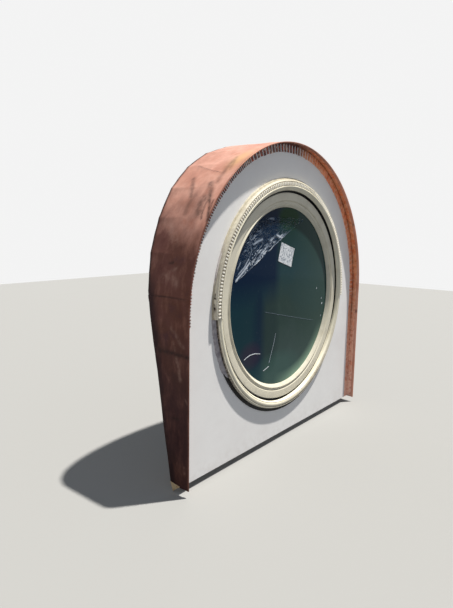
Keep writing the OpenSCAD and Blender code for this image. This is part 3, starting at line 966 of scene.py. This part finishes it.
# Painted reflections in patches, a green one high up and a purple one on the left, and a pale painted rim
# by the bead; only the faint specks last of all are dust.
for share, shade in (
        (times(beyond("X", 0.13, 0.09), 0.5), "#3f564e"),
        (times(beyond("X", -0.125, -0.035), 0.9), "#0d333f"),
        (soft_spot(-0.08, 0.36, 0.06, 0.15, 0.75), "#25393a"),
        (times(sums("MAXIMUM", navy, times(band, 0.7)), 0.95), "#001d3a"),
        (soft_spot(0.018, 0.722, 0.070, 0.042, 0.75, 0.5), "#153f14"),
        (soft_spot(-0.03, 0.225, 0.16, 0.070, 0.35), "#40685f"),
        (soft_spot(-0.185, 0.298, 0.065, 0.050, 0.4), "#43243f"),
        (times(rim, 0.75), "#9dbfa4"),
        (remap(cloud(tree, 85, 7), 0.60, 0.72, 0.0, 0.04), "#7d8791")):
    colour = mix(share, colour, shade)
surface(shader, colour, cloud(tree, 4.5, 2), 0.10, 0.004)
dress(glass, "outer_pane", "inner_pane")
spacer_metal, tree, shader = new_material("spacer_metal", 0.35, 0.9)
colour = ramp(cloud(tree, 180, 4), (0.35, "#9a9fa0"), (0.65, "#b9bdbd"))
feed(shader.inputs["Base Color"], colour)
dress(spacer_metal, "spacer_ring")

# Protective film
# Torn clear film still clings to the upper left of the pane and has wrinkled there.
# Its folds and its torn lower edge are white, the rest is nearly clear.
glass_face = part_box("outer_pane")[0][1]
film_material, tree, shader = new_material("clear_film", 0.22, specular=0.15)
slanted = new_node(tree, "Mapping", {"Vector": on_object(tree), "Rotation": (0, math.radians(28), 0)})
drawn_out = new_node(tree, "Mapping", {"Vector": slanted.outputs["Vector"], "Scale": (0.25, 1, 1)})
creased = remap(cloud(tree, 150, 5, place=drawn_out.outputs["Vector"]), 0.50, 0.64)
specked = remap(cloud(tree, 95, 6), 0.56, 0.66)
white = times(sums("MAXIMUM", creased, specked), stored(tree, "crushed"))
white = sums("MAXIMUM", white, stored(tree, "torn"))
colour = ramp(white, (0.0, "#3c5670"), (0.5, "#b4c2d4"), (1.0, "#eef3f8"))
feed(shader.inputs["Base Color"], colour)
feed(shader.inputs["Alpha"], plus(times(white, 0.85), 0.05))
shader.inputs["IOR"].default_value = 1.3
low_edge = [(-267, 532), (-210, 560), (-146, 593), (-65, 638), (-20, 661), (32, 688), (105, 716)]
high_edge = [(-276, 562), (-252, 640), (-205, 690), (-142, 716), (-76, 724), (10, 726), (98, 724)]
white_lines = [
    ([(-264, 538), (-232, 560), (-200, 586)], 3.5, 0.9),
    ([(-252, 556), (-226, 574), (-204, 598)], 2.5, 0.75),
    ([(-256, 572), (-244, 590)], 2.5, 0.5),
    ([(-160, 592), (-132, 620), (-104, 636)], 5.0, 0.5),
    ([(-55, 668), (-30, 662), (-10, 656)], 3.5, 0.95),
    ([(-178, 642), (-160, 650), (-136, 656)], 4.0, 0.6),
    ([(-205, 662), (-186, 684), (-160, 706)], 2.2, 0.35),
    ([(-108, 722), (-76, 719)], 4.0, 0.45),
    ([(-200, 604), (-190, 622), (-196, 640)], 2.2, 0.4),
]
film_long, film_wide = 110, 70


def along_edge(edge, share):
    """Point at a share of the way along an edge of points."""
    spot = share * (len(edge) - 1)
    first = min(int(spot), len(edge) - 2)
    part = spot - first
    return [edge[first][k] * (1 - part) + edge[first + 1][k] * part for k in (0, 1)]


points, torn, crushed = [], [], []
for layer in (0, 1):
    for i in range(film_long + 1):
        share = i / film_long
        low, high = along_edge(low_edge, share), along_edge(high_edge, share)
        frayed = 0.03 * patchy(share * 30, 2, 0)
        for j in range(film_wide + 1):
            across = frayed + (1 - frayed) * j / film_wide
            spot = [low[k] * (1 - across) + high[k] * across for k in (0, 1)]
            x, z = spot[0] / 1000, spot[1] / 1000 + panel_foot
            wrinkle = 0.0016 * abs(patchy(x * 26, z * 26, 3)) + 0.0010 * abs(patchy(x * 70, z * 70, 8))
            stand = 0.0003 + wrinkle + 0.0002 * (1 - layer)
            points.append((x, glass_face - stand, z))
            rim = bell(j / film_wide, 0, 0.025) * (0.55 + patchy(share * 14, 5, 1))
            rim *= 1 - 0.6 * rise(share, 0.72, 0.84)
            drawn = max(power * near_line(spot, line, width) for line, width, power in white_lines)
            torn.append(min(0.95, max(0.0, rim, drawn)))
            edge_zone = fall(across, 0.10, 0.42) * fall(share, 0.66, 0.80)
            patch = math.exp(-math.hypot(spot[0] + 185, spot[1] - 645) ** 2 / 2400)
            crushed.append(min(1, 0.85 * edge_zone + 0.55 * patch + 0.08))
row = film_wide + 1
front = [(a, a + row, a + row + 1, a + 1)
         for i in range(film_long) for a in range(i * row, i * row + film_wide)]
piece_mesh("protective_film", points, thick(front, len(points) // 2), film_material,
           None, {"torn": torn, "crushed": crushed}, 60)
shred_stand, shred_thickness = 0.4, 0.3
points, faces, whites = [], [], []
for path, shred_width, white in (
        ([(-217, 292), (-203, 298), (-184, 302), (-160, 302), (-132, 296)], 2.6, 0.95),
        ([(-81, 256), (-74, 274), (-64, 298), (-54, 324), (-47, 350)], 1.5, 0.7),
        ([(-80, 258), (-78, 264)], 5.0, 0.6), ([(-113, 236), (-98, 240), (-81, 245)], 2.4, 0.95),
        ([(-113, 428), (20, 399), (197, 361)], 0.9, 0.42), ([(215, 474), (217, 480)], 3.5, 0.9),
        ([(253, 434), (256, 440)], 3.0, 0.8), ([(258, 414), (263, 420)], 5.0, 0.95),
        ([(254, 368), (256, 374)], 3.0, 0.8)):
    faces.extend(shifted(swept_faces(len(path), 4), len(points)))
    for k, (x, z) in enumerate(path):
        before, after = path[max(0, k - 1)], path[min(len(path) - 1, k + 1)]
        run, climb = after[0] - before[0], after[1] - before[1]
        thin = shred_width * (0.35 if k in (0, len(path) - 1) else 0.5) / math.hypot(run, climb)
        for side, layer in ((-1, 0), (1, 0), (1, 1), (-1, 1)):
            stand = shred_stand + shred_thickness * (1 - layer)
            points.append(((x - side * thin * climb) / 1000, glass_face - stand / 1000,
                           (z + side * thin * run) / 1000 + panel_foot))
            whites.append(white)
piece_mesh("film_shreds", points, faces, film_material, None,
           {"torn": whites, "crushed": [0.0] * len(points)}, 60)

# Blank label
# A small self-adhesive paper label near the middle of the pane, with nothing on it.
# It is weathered and mottled, and one corner has begun to lift.
label_paper, tree, shader = new_material("label_paper", 0.6)
faded = cloud(tree, 150, 4)
surface(shader, ramp(faded, (0.38, "#8b939d"), (0.47, "#cfd5db"), (0.60, "#f2f4f6")), faded, 0.15, 0.001)
label_corners = [(-27.6, 646.8), (50.6, 624.3), (35.6, 563.0), (-44.8, 586.3)]
label_steps = 14
lifted = 1.45
points = []
for layer in (0, 1):
    for i in range(label_steps + 1):
        for j in range(label_steps + 1):
            a, b = i / label_steps, j / label_steps
            shares = ((1 - a) * (1 - b), a * (1 - b), a * b, (1 - a) * b)
            x, z = (sum(share * corner[k] for share, corner in zip(shares, label_corners)) / 1000
                    for k in (0, 1))
            peel = 0.005 * max(0, a + (1 - b) - lifted) ** 1.5
            stand = 0.0005 + peel + 0.0002 * patchy(x * 40, z * 40, 1) + 0.0003 * (1 - layer)
            points.append((x, glass_face - stand, z + panel_foot))
row = label_steps + 1
front = [(a, a + 1, a + row + 1, a + row)
         for i in range(label_steps) for a in range(i * row, i * row + label_steps)]
piece_mesh("blank_label", points, thick(front, len(points) // 2), label_paper)

# Boards and timber
# Softwood studs, sill and struts with plywood ribs, screwed together behind the panel.
# Thin plywood is nailed round them, with its plies showing along the roof edge.


def timber(name, stretch, shades):
    """Planed softwood with its grain along the least stretched direction."""
    material, tree, shader = new_material(name, 0.6)
    rings = cloud(tree, 26, 5, stretch)
    pores = cloud(tree, 210, 4, stretch)
    colour = ramp(rings, (0.34, shades[0]), (0.47, shades[1]), (0.56, shades[0]), (0.68, shades[1]))
    colour = mix(remap(pores, 0.5, 0.75, 0.0, 0.35), colour, shades[2])
    surface(shader, colour, plus(rings, pores), 0.2, 0.001)
    return material


def plywood(name, middle, thickness, flat_face=False):
    """Plywood whose plies run parallel to a flat or a curved face."""
    material, tree, shader = new_material(name, 0.62)
    place, radius, x = round_place(tree, middle)
    plies = sums("FRACT", times(x if flat_face else radius, 1 / thickness))
    layer = ramp(plies, (0.0, "#a87c4a"), (0.42, "#a87c4a"), (0.5, "#dcb984"), (0.92, "#d3ae78"),
                        (1.0, "#6e4c2a"))
    grain = cloud(tree, 22, 6, place=place)
    surface(shader, mix(remap(grain, 0.35, 0.7, 0.1, 0.6), layer, "#c89e66"), grain, 0.25, 0.001)
    return material


pine = ("#d8b27a", "#c4965a", "#8a6238")
dress(timber("upright_pine", (1, 1, 0.08), pine), "stud_left", "stud_right")
dress(timber("level_pine", (0.08, 1, 1), pine), "sill_plate")
dress(timber("deep_pine", (1, 0.08, 1), pine), "strut_top", "strut_upper_left", "strut_upper_right",
      "strut_lower_left", "strut_lower_right")
dress(timber("rib_plywood", (0.12, 1, 1), ("#d9b888", "#cda672", "#9a7448")), "front_rib", "back_rib")
dress(plywood("bent_plywood", spring, 0.0036), "sheathing_barrel")
dress(plywood("flat_plywood", spring, 0.0036, True), "sheathing_left", "sheathing_right")
dress(plywood("liner_plywood", ring_height, 0.004), "jamb_liner")
